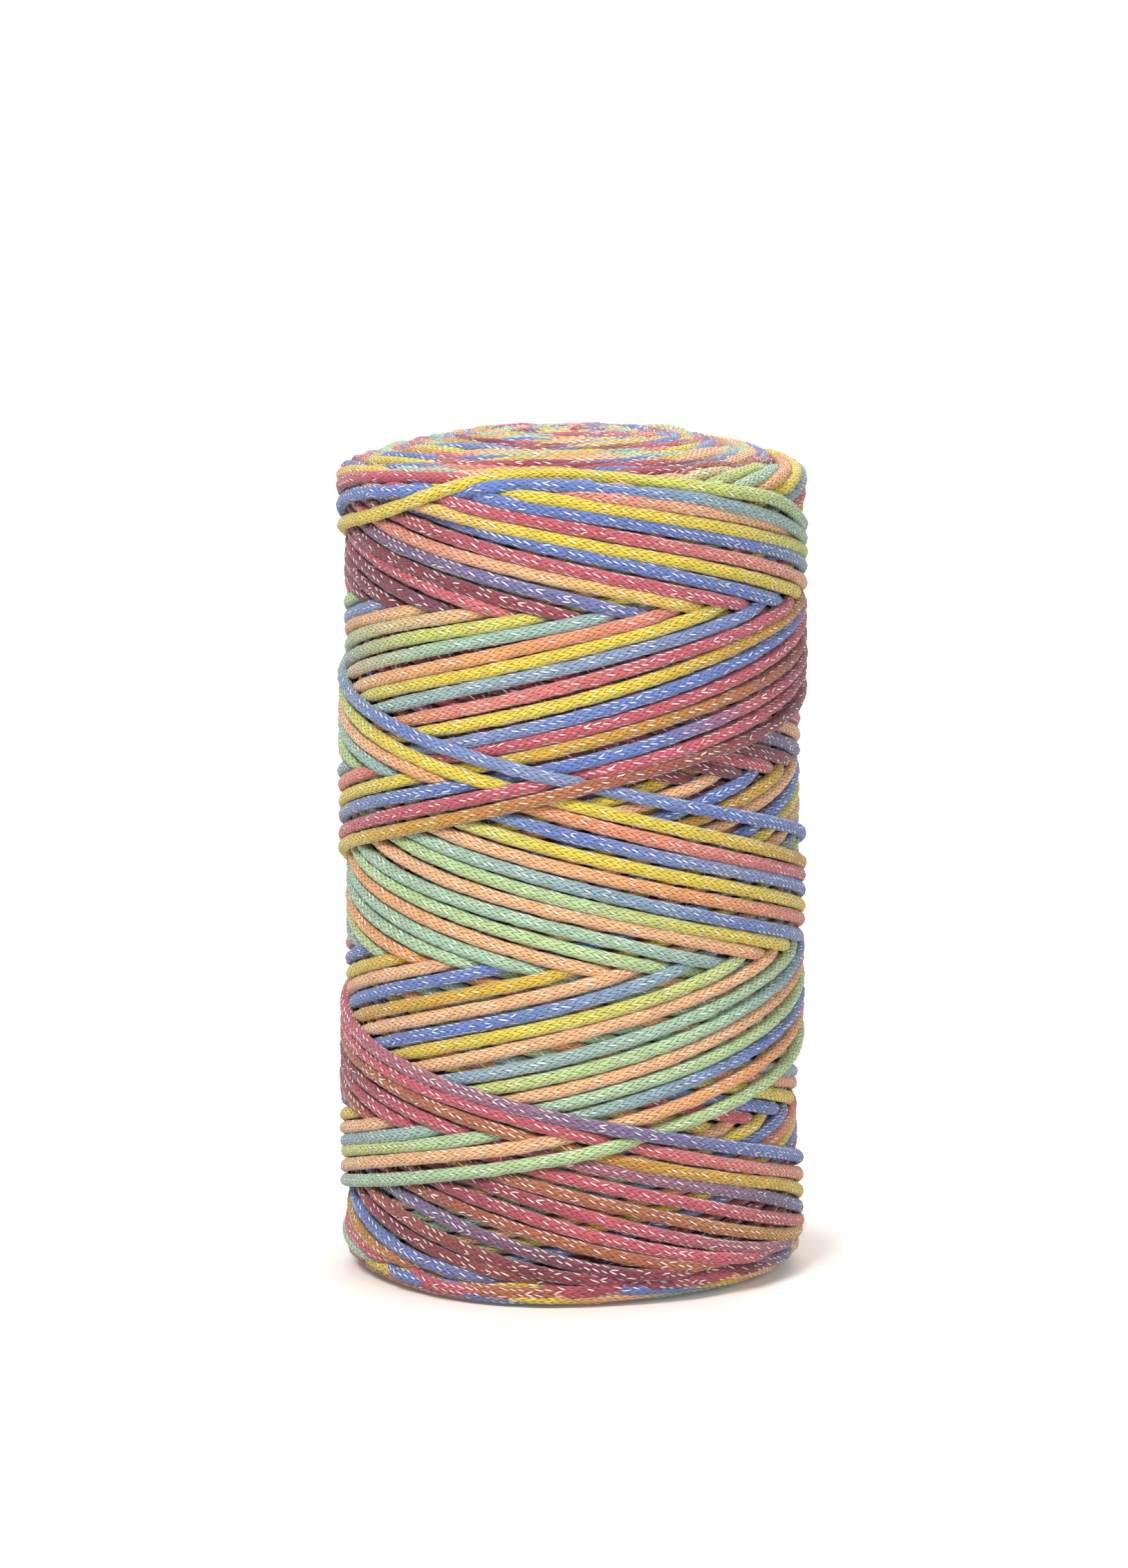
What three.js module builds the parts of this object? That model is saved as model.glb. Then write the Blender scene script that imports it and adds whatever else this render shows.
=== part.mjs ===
import * as THREE from 'three';

// A tall ball of cotton cord, cross-wound without a tube and standing on its end.
// Millimetres, +Z up. The front is the -Y side and the origin is the middle of the foot.

// Driving dimensions
const BALL_HEIGHT = 152; // from the foot to the middle of the crown
const BALL_RADIUS = 43; // from the axis to the crest of the newest turn
const SHOULDER_RADIUS = 4.5; // rounding of the top and bottom edges
const CROWN_RADIUS = 147; // sphere that the domed top end belongs to
const FOOT_RADIUS = 37.5; // flat spot that the ball stands on
const CORDS_ROUND = 22; // cords side by side round the ball, in each winding direction
const HALF_PITCH = 30.8; // climb of a cord in half a turn
const HALF_TURNS = 5; // half turns from one end to the other
const FIRST_ROW_LENGTH = 0.3; // outline length at which the lowest row of crossings lies
const NEWEST_ROW = 3; // row of crossings where the two newest turns cross in front
const NEWEST_ANGLE = 0.14; // where they cross, in radians from the front towards +X
const LAYER_STEP = 1.2; // height lost in one turn from the newest cord back to the oldest
const GROOVE_DEPTH = 1.1; // depth of the groove between neighbouring cords on the side
const CROWN_RINGS = 14; // rings of the crown inside the last row of crossings
const CROWN_RING_RATIO = 0.9; // each ring's radius over that of the ring outside it
const CROWN_STEP_FADE = 0.75; // what is left of the layer step from one ring to the next
const FULL_GROOVE_RADIUS = 30; // grooves of the crown are shallower inside this radius

// Lattice of the winding: one crest and one groove for each cord, in rows that climb by
// half a cord, so that a cord's crest moves one step sideways from a row to the next
const STEPS_ROUND = 2 * CORDS_ROUND;
const ROWS_PER_HALF_TURN = CORDS_ROUND;
const ROW_RISE = HALF_PITCH / ROWS_PER_HALF_TURN;
const TOP_ROW = HALF_TURNS * ROWS_PER_HALF_TURN;
const REFERENCE_ROW = NEWEST_ROW * ROWS_PER_HALF_TURN;
const SIDE_LEAN = 1; // steps sideways from one row to the next
const CROWN_LEAN = 2; // the same from one ring of the crown to the next

// Crown: where the shoulder meets the dome
const SHOULDER_CENTRE = BALL_RADIUS - SHOULDER_RADIUS;
const DOME_ANGLE = Math.asin(SHOULDER_CENTRE / (CROWN_RADIUS - SHOULDER_RADIUS));
const DOME_CENTRE_Z = BALL_HEIGHT - CROWN_RADIUS;
const SIDE_TOP = DOME_CENTRE_Z + (CROWN_RADIUS - SHOULDER_RADIUS) * Math.cos(DOME_ANGLE);
const SHOULDER_END = SIDE_TOP + SHOULDER_RADIUS * (Math.PI / 2 - DOME_ANGLE);

const wrap = (step) => ((step % STEPS_ROUND) + STEPS_ROUND) % STEPS_ROUND;

// A point of the outline with its outward tilt, found by outline length above the foot:
// tilt is 0 on the side, a quarter turn on the crown's middle and negative towards the foot
function outlineAt(length) {
  if (length < SHOULDER_RADIUS) {
    const tilt = (length - SHOULDER_RADIUS) / SHOULDER_RADIUS;
    const radius = SHOULDER_CENTRE + SHOULDER_RADIUS * Math.cos(tilt);
    return { radius, z: SHOULDER_RADIUS * (1 + Math.sin(tilt)), tilt };
  }
  if (length < SIDE_TOP) {
    return { radius: BALL_RADIUS, z: length, tilt: 0 };
  }
  if (length < SHOULDER_END) {
    const tilt = (length - SIDE_TOP) / SHOULDER_RADIUS;
    const radius = SHOULDER_CENTRE + SHOULDER_RADIUS * Math.cos(tilt);
    return { radius, z: SIDE_TOP + SHOULDER_RADIUS * Math.sin(tilt), tilt };
  }
  return domeAt(CROWN_RADIUS * Math.sin(DOME_ANGLE - (length - SHOULDER_END) / CROWN_RADIUS));
}

function domeAt(radius) {
  const fromAxis = Math.asin(radius / CROWN_RADIUS);
  return { radius, z: DOME_CENTRE_Z + CROWN_RADIUS * Math.cos(fromAxis), tilt: Math.PI / 2 - fromAxis };
}

// Outline point of a row: rows of crossings first, then the shrinking rings of the crown
function rowOutline(row) {
  if (row <= TOP_ROW) {
    return outlineAt(FIRST_ROW_LENGTH + row * ROW_RISE);
  }
  const lastCrossing = outlineAt(FIRST_ROW_LENGTH + TOP_ROW * ROW_RISE);
  return domeAt(lastCrossing.radius * CROWN_RING_RATIO ** (row - TOP_ROW));
}

// How far a lattice point lies under the newest turn: by the age of the rising and of the
// falling cords there, counted in steps behind the newest cord of each direction
function depthAt(step, row) {
  const ring = Math.max(0, row - TOP_ROW);
  const climbed = SIDE_LEAN * (row - ring - REFERENCE_ROW) + CROWN_LEAN * ring;
  const risingAge = wrap(climbed - step) / STEPS_ROUND;
  if (ring > 0) {
    return 2 * LAYER_STEP * risingAge * CROWN_STEP_FADE ** ring;
  }
  const fallingAge = wrap(-climbed - step) / STEPS_ROUND;
  return LAYER_STEP * (risingAge + fallingAge);
}

// Crests and grooves take turns round a row, and swap from row to row on the side
function grooveAt(step, row, radius) {
  const isCrest = (step + Math.min(row, TOP_ROW)) % 2 === 0;
  return isCrest ? 0 : GROOVE_DEPTH * Math.min(1, radius / FULL_GROOVE_RADIUS);
}

// A ring of points round the ball on one row of the lattice
function latticeRing(row) {
  const { radius, z, tilt } = rowOutline(row);
  const points = [];
  for (let step = 0; step < STEPS_ROUND; step += 1) {
    const depth = depthAt(step, row) + grooveAt(step, row, radius);
    const angle = NEWEST_ANGLE + (step / STEPS_ROUND) * 2 * Math.PI;
    const reach = radius - depth * Math.cos(tilt);
    points.push([reach * Math.sin(angle), -reach * Math.cos(angle), z - depth * Math.sin(tilt)]);
  }
  return points;
}

function footRing() {
  const points = [];
  for (let step = 0; step < STEPS_ROUND; step += 1) {
    const angle = NEWEST_ANGLE + (step / STEPS_ROUND) * 2 * Math.PI;
    points.push([FOOT_RADIUS * Math.sin(angle), -FOOT_RADIUS * Math.cos(angle), 0]);
  }
  return points;
}

// Faces between a row and the next: rising cords between the two newest cords, falling
// cords outside them, and a fan of two faces where each newest cord parts the two
function crossedBand(row, at) {
  const faces = [];
  const climbed = SIDE_LEAN * (row - REFERENCE_ROW);
  const start = -climbed;
  const end = start + wrap(2 * climbed);
  for (let i = start - SIDE_LEAN; i < start + SIDE_LEAN; i += 1) {
    faces.push([at(start, row), at(i + 1, row + 1), at(i, row + 1)]);
  }
  for (let i = start; i < end; i += 1) {
    faces.push(...risingCell(i, row, SIDE_LEAN, at));
  }
  for (let i = end; i < end + 2 * SIDE_LEAN; i += 1) {
    faces.push([at(i, row), at(i + 1, row), at(end + SIDE_LEAN, row + 1)]);
  }
  for (let i = end + 2 * SIDE_LEAN; i < start + STEPS_ROUND; i += 1) {
    faces.push(...fallingCell(i, row, at));
  }
  return faces;
}

function risingCell(i, row, lean, at) {
  return [
    [at(i, row), at(i + 1, row), at(i + lean, row + 1)],
    [at(i + 1, row), at(i + lean + 1, row + 1), at(i + lean, row + 1)],
  ];
}

function fallingCell(i, row, at) {
  const left = at(i - SIDE_LEAN, row + 1);
  const right = at(i - SIDE_LEAN + 1, row + 1);
  return [
    [at(i, row), at(i + 1, row), right],
    [at(i, row), right, left],
  ];
}

// On the crown every cord leans the same way, over the one before it
function crownBand(row, at) {
  const faces = [];
  for (let i = 0; i < STEPS_ROUND; i += 1) {
    faces.push(...risingCell(i, row, CROWN_LEAN, at));
  }
  return faces;
}

// The whole ball as one closed surface
function woundBallGeometry() {
  const lastRow = TOP_ROW + CROWN_RINGS;
  const points = [];
  const faces = [];
  for (let row = 0; row <= lastRow; row += 1) {
    points.push(...latticeRing(row));
  }
  const at = (step, row) => row * STEPS_ROUND + wrap(step);
  for (let row = 0; row < lastRow; row += 1) {
    faces.push(...(row < TOP_ROW ? crossedBand(row, at) : crownBand(row, at)));
  }
  const footStart = points.length;
  points.push(...footRing());
  const footMiddle = points.push([0, 0, 0]) - 1;
  const crownMiddle = points.push([0, 0, BALL_HEIGHT]) - 1;
  for (let i = 0; i < STEPS_ROUND; i += 1) {
    const here = footStart + i;
    const next = footStart + wrap(i + 1);
    faces.push([here, next, at(i + 1, 0)], [here, at(i + 1, 0), at(i, 0)]);
    faces.push([footMiddle, next, here]);
    faces.push([crownMiddle, at(i, lastRow), at(i + 1, lastRow)]);
  }
  const geometry = new THREE.BufferGeometry();
  geometry.setAttribute('position', new THREE.Float32BufferAttribute(points.flat(), 3));
  geometry.setIndex(faces.flat());
  geometry.computeVertexNormals();
  return geometry;
}

const cottonCord = new THREE.MeshStandardMaterial({ color: 0xc9a784, roughness: 0.95, metalness: 0 });

const woundBall = new THREE.Mesh(woundBallGeometry(), cottonCord);
woundBall.name = 'wound_ball';

const ball = new THREE.Group();
ball.add(woundBall);

export default ball;
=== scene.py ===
"""A tall ball of space-dyed knitted cotton cord, cross-wound without a tube, standing on its end.

Winding is worked out in millimetres and written to the meshes in metres. The front is the -Y side,
+Z is up, and angles round the ball grow from the front towards +X.
"""

import bpy
import numpy as np
from mathutils import Matrix, Vector


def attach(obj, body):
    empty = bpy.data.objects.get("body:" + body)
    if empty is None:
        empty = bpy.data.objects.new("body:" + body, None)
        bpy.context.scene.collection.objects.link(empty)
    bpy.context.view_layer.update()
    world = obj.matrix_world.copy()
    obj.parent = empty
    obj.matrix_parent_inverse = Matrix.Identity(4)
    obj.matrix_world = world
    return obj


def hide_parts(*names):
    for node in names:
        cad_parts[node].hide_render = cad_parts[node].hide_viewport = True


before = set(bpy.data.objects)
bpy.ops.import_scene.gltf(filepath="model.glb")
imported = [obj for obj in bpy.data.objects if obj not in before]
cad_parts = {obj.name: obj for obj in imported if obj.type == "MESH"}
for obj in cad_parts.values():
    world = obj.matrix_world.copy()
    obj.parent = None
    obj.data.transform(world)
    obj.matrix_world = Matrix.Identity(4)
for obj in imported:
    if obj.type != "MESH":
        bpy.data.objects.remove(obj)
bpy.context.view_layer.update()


# Camera
# A long lens a little above the ball looks slightly down at it, as a catalogue photographer does.
# It stands straight in front, about a metre away.
CAMERA_PLACE = (-0.0015, -1.093, 0.238)
CAMERA_PITCH = 7.84  # degrees below the horizon
FOCAL_PIXELS = 8840.0
PHOTO_HEIGHT = 2268
SENSOR_HEIGHT = 24.0  # mm
NEAREST_SEEN, FARTHEST_SEEN = 0.05, 200.0


def in_scene(name, data):
    """An object that holds the data, linked to the scene."""
    made = bpy.data.objects.new(name, data)
    bpy.context.collection.objects.link(made)
    return made


camera_data = bpy.data.cameras.new("camera")
camera_data.sensor_fit = "VERTICAL"
camera_data.sensor_height = SENSOR_HEIGHT
camera_data.lens = SENSOR_HEIGHT * FOCAL_PIXELS / PHOTO_HEIGHT
camera_data.clip_start, camera_data.clip_end = NEAREST_SEEN, FARTHEST_SEEN
camera = in_scene("camera", camera_data)
camera.matrix_world = Matrix.Translation(CAMERA_PLACE) @ Matrix.Rotation(
    np.radians(90.0 - CAMERA_PITCH), 4, "X"
)
bpy.context.scene.camera = camera


# Outline of the ball
# The winder lays every turn on one outline: an upright side between two rounded edges, a domed
# top end, and an underside pressed flat where the ball stands. All lengths are millimetres.
BALL_HEIGHT = 152.0
BALL_RADIUS = 43.0
EDGE_RADIUS = 4.5
FOOT_EDGE_RADIUS = 7.5
FOOT_FRONT_SHARPER = 5.0  # how much smaller that rounding is at the front
FOOT_FRONT_ANGLE, FOOT_FRONT_SPREAD = -0.3, 0.55  # radians, the middle and width of that front
CROWN_RADIUS = 147.0
CROWN_FULLNESS = 0.8  # how far the crown swells above a sphere, halfway to its middle

EDGE_CENTRE = BALL_RADIUS - EDGE_RADIUS
DOME_ANGLE = np.arcsin(EDGE_CENTRE / (CROWN_RADIUS - EDGE_RADIUS))
DOME_CENTRE = BALL_HEIGHT - CROWN_RADIUS
SIDE_TOP = DOME_CENTRE + (CROWN_RADIUS - EDGE_RADIUS) * np.cos(DOME_ANGLE)
DOME_START = SIDE_TOP + EDGE_RADIUS * (np.pi / 2 - DOME_ANGLE)
FOOT_START = FOOT_EDGE_RADIUS * (1 - np.pi / 2)
FOOT_RADIUS = BALL_RADIUS - FOOT_EDGE_RADIUS
CROWN_MIDDLE = DOME_START + CROWN_RADIUS * DOME_ANGLE


def foot_edge(angle):
    """Rounding of the bottom edge: even, less a bell curve round the front."""
    from_front = np.mod(angle - FOOT_FRONT_ANGLE + np.pi, 2 * np.pi) - np.pi
    bell = np.exp(-((from_front / FOOT_FRONT_SPREAD) ** 2))
    return FOOT_EDGE_RADIUS - FOOT_FRONT_SHARPER * bell


def on_outline(length, depth, angle):
    """Radius, height and outward tilt of a point a depth below the outline.

    Length runs up the outline from the bottom edge. The tilt is 0 on the side, a quarter turn
    on the crown's middle and minus a quarter turn underneath. Both edges are quarters of a
    circle, and the dome is a cap of a sphere, swollen by half a sine wave between its rim and its
    middle. The point is the outline's own point moved inwards by the depth along that tilt.
    """
    edge = foot_edge(angle)
    low = np.clip(length / edge - 1, -np.pi / 2, 0)
    high = np.clip((length - SIDE_TOP) / EDGE_RADIUS, 0, np.pi / 2 - DOME_ANGLE)
    tilt = low + high
    radius = BALL_RADIUS - edge * (1 - np.cos(low)) - EDGE_RADIUS * (1 - np.cos(high))
    radius = radius + np.minimum(0, length - edge * (1 - np.pi / 2))
    height = np.where(
        length < SIDE_TOP,
        np.maximum(length, edge) + edge * np.sin(low),
        SIDE_TOP + EDGE_RADIUS * np.sin(high),
    )
    from_axis = np.clip(DOME_ANGLE - (length - DOME_START) / CROWN_RADIUS, 0, DOME_ANGLE)
    on_dome = length > DOME_START
    tilt = np.where(on_dome, np.pi / 2 - from_axis, tilt)
    radius = np.where(on_dome, CROWN_RADIUS * np.sin(from_axis), radius)
    swell = CROWN_FULLNESS * np.sin(np.pi * np.clip(from_axis / DOME_ANGLE, 0, 1))
    height = np.where(on_dome, DOME_CENTRE + CROWN_RADIUS * np.cos(from_axis) + swell, height)
    return radius - depth * np.cos(tilt), height - depth * np.sin(tilt), tilt


def in_space(radius, height, tilt, angle):
    """Points and outward directions from radius, height, tilt and angle round the ball.

    A point is its radius turned to the angle, at its height. Its direction has the tilt's cosine
    turned to the same angle and the tilt's sine upwards.
    """
    points = np.stack([radius * np.sin(angle), -radius * np.cos(angle), height], -1)
    outward = np.stack(
        [np.cos(tilt) * np.sin(angle), -np.cos(tilt) * np.cos(angle), np.sin(tilt)], -1
    )
    return points, outward


# Winding law
# One cord climbs and falls between the two ends while the ball turns, a little short of five
# turns for each up and down, so that every pass lies beside the one before it.
CORDS_ROUND = 22
CORD_STEP = 2 * np.pi / CORDS_ROUND
PASS_TURNS = 5 - 1 / CORDS_ROUND
CLIMB = 9.8  # mm in a radian
TOP_NOMINAL = 154.3  # outline length that an even winding's corners would reach
REVERSAL_REACH = 1.1  # radians on each side of a reversal in which the cord bends round
CORD_DIAMETER = 2.5
LAYER_STEP = 1.2  # height lost in one turn from the newest cord back to the oldest
LOOP_SPIRAL = 0.11  # mm by which each reversal loop lies further in than the next newer one

# Turns are counted back from a place near the newest end
END_TURN = -0.15
TOP_APEX_TURN = 1.25  # the first top reversal
FRONT_OFFSET = -1.45  # angle round the ball of the place they are counted from

# How far the laid cord strays up or down from even winding, by turns from its top reversal
STRAY = [
    # (turns, mm)
    (-2.48, -1.6),
    (-2.40, -1.8),
    (-2.25, -2.3),
    (-1.97, -4.4),
    (-1.75, -4.3),
    (-1.50, -3.5),
    (-1.25, -1.0),
    (-1.00, 0.3),
    (-0.88, -0.4),
    (-0.60, -0.3),
    (-0.45, -1.6),
    (-0.30, -3.3),
    (-0.24, -3.6),
    (-0.17, -2.8),
    (-0.11, -1.4),
    (-0.05, 0.0),
    (0.00, 0.0),
    (0.03, -1.2),
    (0.07, -3.3),
    (0.12, -4.6),
    (0.21, -3.4),
    (0.34, -2.4),
    (0.70, -1.9),
    (0.98, -1.4),
    (1.25, -2.1),
    (1.48, -2.2),
    (1.75, 0.0),
    (1.98, 1.5),
    (2.15, 1.9),
    (2.26, 1.9),
    (2.34, 1.0),
    (2.42, -0.8),
    (2.48, -1.6),
]
# The newest two passes have nothing on them and have slid a little, by turns from the end
SLIDE = [
    # (turns, mm)
    (-0.15, 0.0),
    (0.00, 1.0),
    (0.23, 0.6),
    (0.46, -1.0),
    (0.90, 0.0),
    (1.00, 0.0),
    (1.07, -1.9),
    (1.11, -2.1),
    (1.14, -0.9),
    (1.16, 1.5),
    (1.19, 3.7),
    (1.23, 3.1),
    (1.26, 2.1),
    (1.31, 1.1),
    (1.39, 0.7),
    (1.46, -2.5),
    (1.75, 0.0),
    (1.90, 0.0),
    (2.23, 1.2),
    (2.46, 1.9),
    (2.90, 0.3),
    (3.90, 0.0),
    (4.23, -0.9),
    (4.50, -1.0),
    (4.90, 0.0),
    (6.02, 0.0),
    (6.14, -3.3),
    (6.18, -1.6),
    (6.23, -0.4),
    (6.31, 0.7),
    (6.46, -2.5),
    (6.75, 0.0),
]

# A hand-fed cord wanders a little, in slow waves up and down and in some of them in depth too
WAVES, DEPTH_WAVES = 9, 6
WANDER, DEPTH_WANDER = 0.12, 0.04  # mm for each wave
SLOWEST_WAVE, FASTEST_WAVE = 0.6, 3.4  # waves in a turn

wander_random = np.random.default_rng(11)
WANDER_WAVES = wander_random.uniform(SLOWEST_WAVE, FASTEST_WAVE, WAVES)
WANDER_STARTS = wander_random.uniform(0, 2 * np.pi, WAVES)


def smoothed(values, width):
    """Values along a cord, averaged over a raised-cosine window of that many rings."""
    window = np.hanning(width + 2)[1:-1]
    padded = np.pad(values, (width // 2, width - 1 - width // 2), mode="edge")
    return np.convolve(padded, window / window.sum(), mode="valid")


def even_height(turns):
    """Outline length of even winding: a triangle wave with a parabola at each reversal."""
    from_top = 2 * np.pi * np.abs(turns)
    from_bottom = np.pi * PASS_TURNS - from_top
    bend = CLIMB / (2 * REVERSAL_REACH)
    near_top = np.clip(REVERSAL_REACH - from_top, 0, None)
    near_bottom = np.clip(REVERSAL_REACH - from_bottom, 0, None)
    return TOP_NOMINAL - CLIMB * from_top - bend * near_top**2 + bend * near_bottom**2


LAW_STEPS, LAW_SMOOTHING = 4001, 41  # steps in one up and down, and the window that smooths them

law_turns = np.linspace(-PASS_TURNS / 2, PASS_TURNS / 2, LAW_STEPS)
law_strays = np.interp(law_turns, *np.transpose(STRAY))
law_heights = smoothed(even_height(law_turns) + law_strays, LAW_SMOOTHING)
rising_law = law_turns <= 0
APEX_HEIGHT, FOOT_APEX = law_heights.max(), law_heights.min()


def turns_at(height, rising):
    """Turns from the top reversal at which a cord of that direction reaches the height."""
    if rising:
        return np.interp(height, law_heights[rising_law], law_turns[rising_law])
    falling = ~rising_law
    return np.interp(height, law_heights[falling][::-1], law_turns[falling][::-1])


def within(angle, start):
    """The angle brought into the one full turn that begins at start."""
    return start + np.mod(angle - start, 2 * np.pi)


FIRST_APEX_ANGLE = FRONT_OFFSET + 2 * np.pi * TOP_APEX_TURN
END_HEIGHT = even_height(END_TURN - TOP_APEX_TURN)


def ages_at(angle, height):
    """How long ago, as an angle, the rising and the falling cords were laid at a place."""
    rising = FIRST_APEX_ANGLE + 2 * np.pi * turns_at(height, True) - angle
    falling = FIRST_APEX_ANGLE + 2 * np.pi * turns_at(height, False) - angle
    first_rising = np.where(height > END_HEIGHT, -CORD_STEP / 2, CORD_STEP / 2)
    return within(rising, first_rising), within(falling, -CORD_STEP / 2)


# The layer step is whole between two fades, and gone from these outline lengths outwards
CROWN_LEVEL, CROWN_FADE = 149, 14
FOOT_LEVEL, FOOT_FADE = 1, 10


def end_fade(length):
    """1 on the side and 0 on the crown and the foot, where the layers lie side by side."""
    from_crown = np.clip((CROWN_LEVEL - length) / CROWN_FADE, 0, 1)
    return from_crown * np.clip((length - FOOT_LEVEL) / FOOT_FADE, 0, 1)


# A map of how deep the newer cords reach, by column round the ball and row up the outline
RINGS_IN_A_TURN = 180
MAP_ROWS = 1000
ROW_HEIGHT = 0.25
LOWEST_ROW = -50.0
UNCOVERED = -10.0  # reach where no newer cord lies
PRESSED_RADIUS = 0.85  # mm, of a cord where another presses on it
DEEPEST = 4.4  # mm below the surface, where nothing shows any more
DEPTH_SMOOTHING = 6  # rings, 9 mm of cord
PRESSED_ROWS = np.arange(-3, 4)
PRESSED_ARCH = np.sqrt(PRESSED_RADIUS**2 - (PRESSED_ROWS * ROW_HEIGHT) ** 2)

newer_reach = np.full((RINGS_IN_A_TURN, MAP_ROWS), UNCOVERED)


def map_cells(columns, length):
    """The map's cells that a cord's pressed width covers, ring by ring: in the ring's column, the
    row nearest its length and the pressed rows on both sides."""
    rows = np.rint((length - LOWEST_ROW) / ROW_HEIGHT).astype(int)[..., None] + PRESSED_ROWS
    return columns[..., None], rows


def pushed_depth(cells):
    """Depth to which newer cords push one.

    It is the greatest, over the cord's width, of their reach plus the arch of its own section.
    """
    return (newer_reach[cells] + PRESSED_ARCH).max(-1)


def laid_under(columns, length, level):
    """Depth at which a cord lies under all the newer ones, which then includes this one.

    The depth is half a cord below the level, or as deep as newer cords push it. Each ring takes
    the greatest of its own and its neighbours' depths, and that is smoothed over 9 mm, as the
    cord can't bend more sharply.
    """
    cells = map_cells(columns, length)
    depth = np.clip(pushed_depth(cells), level + CORD_DIAMETER / 2, level + DEEPEST)
    windows = np.lib.stride_tricks.sliding_window_view(np.pad(depth, 1, mode="edge"), 3)
    depth = smoothed(windows.max(1), DEPTH_SMOOTHING)
    newer_reach[cells] = np.maximum(newer_reach[cells], depth[:, None] + PRESSED_ARCH)
    return depth


REVERSAL_TURNS = 0.3  # turns on each side of a reversal over which its spiral shift fades
PATH_SMOOTHING, DIVE_SMOOTHING = 11, 5  # rings
UPPERMOST = 0.5  # mm below its level down to which a ring counts as uppermost
TUCK_DEPTH, TUCK_TURNS = 2.6, 0.05  # the newest end is tucked under its neighbours


def wound_path(ring_turns):
    """Centre line of the winding, ring by ring, and which rings lie uppermost.

    The height follows the winding law, and the outline length adds the wander, the spiral shift
    near each reversal and the slide. The level is the layer step times the ages of both
    directions there, and each run from end to end is laid under the newer ones.
    """
    angle = FRONT_OFFSET + 2 * np.pi * ring_turns
    passes = np.floor((ring_turns - TOP_APEX_TURN) / PASS_TURNS + 0.5)
    turns = ring_turns - TOP_APEX_TURN - passes * PASS_TURNS
    height = np.interp(turns, law_turns, law_heights)
    waves = np.sin(2 * np.pi * np.outer(ring_turns, WANDER_WAVES) + WANDER_STARTS)
    wander = waves.sum(1) * WANDER
    near_top = np.clip(1 - np.abs(turns) / REVERSAL_TURNS, 0, 1)
    near_bottom = np.clip(1 - (PASS_TURNS / 2 - np.abs(turns)) / REVERSAL_TURNS, 0, 1)
    inward = LOOP_SPIRAL * passes * (near_top - near_bottom)
    slide = np.interp(ring_turns, *np.transpose(SLIDE))
    length = smoothed(height + wander + inward + slide, PATH_SMOOTHING)

    rising_age, falling_age = ages_at(angle, height)
    other = np.where(turns < 0, falling_age, rising_age)
    ages = (passes * CORD_STEP + other) / (2 * np.pi)
    level = LAYER_STEP * ages * end_fade(length)
    columns = np.mod(np.rint(ring_turns * RINGS_IN_A_TURN), RINGS_IN_A_TURN).astype(int)
    runs = np.floor(2 * (ring_turns - TOP_APEX_TURN) / PASS_TURNS)
    depth = np.empty(len(ring_turns))
    for run in np.split(np.arange(len(ring_turns)), np.flatnonzero(np.diff(runs)) + 1):
        depth[run] = laid_under(columns[run], length[run], level[run])
    upper = depth < level + CORD_DIAMETER / 2 + UPPERMOST
    tucked = TUCK_DEPTH * np.clip(1 - (ring_turns - END_TURN) / TUCK_TURNS, 0, 1)
    uneven = DEPTH_WANDER * waves[:, -DEPTH_WAVES:].sum(1)
    depth = smoothed(depth, DIVE_SMOOTHING) + uneven + tucked
    radius, z, tilt = on_outline(length, depth, angle)
    points, outward = in_space(radius, z, tilt, angle)
    return points, outward, upper


# Space dyeing
# The cord is dyed in one repeat of about four metres, fifteen turns of the ball, in which soft
# shades run into each other. The chart gives each shade's place in the repeat, in fifteenths.
REPEAT_TURNS = 15.13
CHART_LENGTH = 15.0
SHADES = {
    "yellow": (226, 200, 72),
    "mustard": (204, 152, 58),
    "rust": (176, 104, 74),
    "maroon": (128, 58, 68),
    "pink": (198, 92, 104),
    "salmon": (224, 130, 120),
    "peach": (236, 180, 132),
    "orange": (236, 160, 100),
    "mint": (166, 196, 166),
    "green": (182, 206, 146),
    "lime": (198, 206, 106),
    "teal": (150, 176, 176),
    "slate": (136, 150, 186),
    "blue": (104, 126, 190),
    "purple": (124, 108, 144),
    "mauve": (160, 104, 120),
}
DYE_CHART = (
    "0.0 yellow, 0.12 mustard, 0.24 rust, 0.4 maroon, 0.6 pink, 0.8 peach, 0.95 yellow,"
    "1.2 yellow, 1.32 lime, 1.45 mint, 1.85 mint, 1.95 teal, 2.08 blue, 2.2 slate, 2.32 blue,"
    "2.5 blue, 2.7 purple, 2.85 maroon, 2.97 pink, 3.12 mauve, 3.24 purple, 3.36 blue,"
    "3.75 blue, 3.9 teal, 4.02 mint, 4.2 green, 4.45 green, 4.6 peach, 4.75 orange,"
    "4.88 salmon, 5.0 pink, 5.3 pink, 5.5 maroon, 5.7 purple, 5.88 blue, 6.18 blue, 6.3 teal,"
    "6.45 mint, 6.65 green, 6.92 green, 7.03 yellow, 7.25 yellow, 7.4 mustard, 7.55 rust,"
    "7.75 maroon, 7.9 pink, 8.18 pink, 8.3 salmon, 8.45 peach, 8.7 peach, 9.15 peach,"
    "9.3 orange, 9.5 peach, 9.65 mint, 9.8 teal, 9.92 slate, 10.05 blue, 10.2 blue,"
    "10.28 pink, 10.45 maroon, 10.65 maroon, 10.85 pink, 11.02 pink, 11.12 salmon,"
    "11.25 peach, 11.5 orange, 11.7 peach, 11.95 peach, 12.08 orange, 12.22 salmon,"
    "12.4 pink, 12.6 maroon, 12.85 rust, 13.05 rust, 13.18 mustard, 13.35 yellow,"
    "13.55 mustard, 13.8 yellow, 14.0 green, 14.1 mint, 14.25 blue, 14.45 slate, 14.6 lime,"
    "14.75 yellow, 15.0 yellow"
)
dye_places, dye_names = zip(*(entry.split() for entry in DYE_CHART.split(",")))
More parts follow.
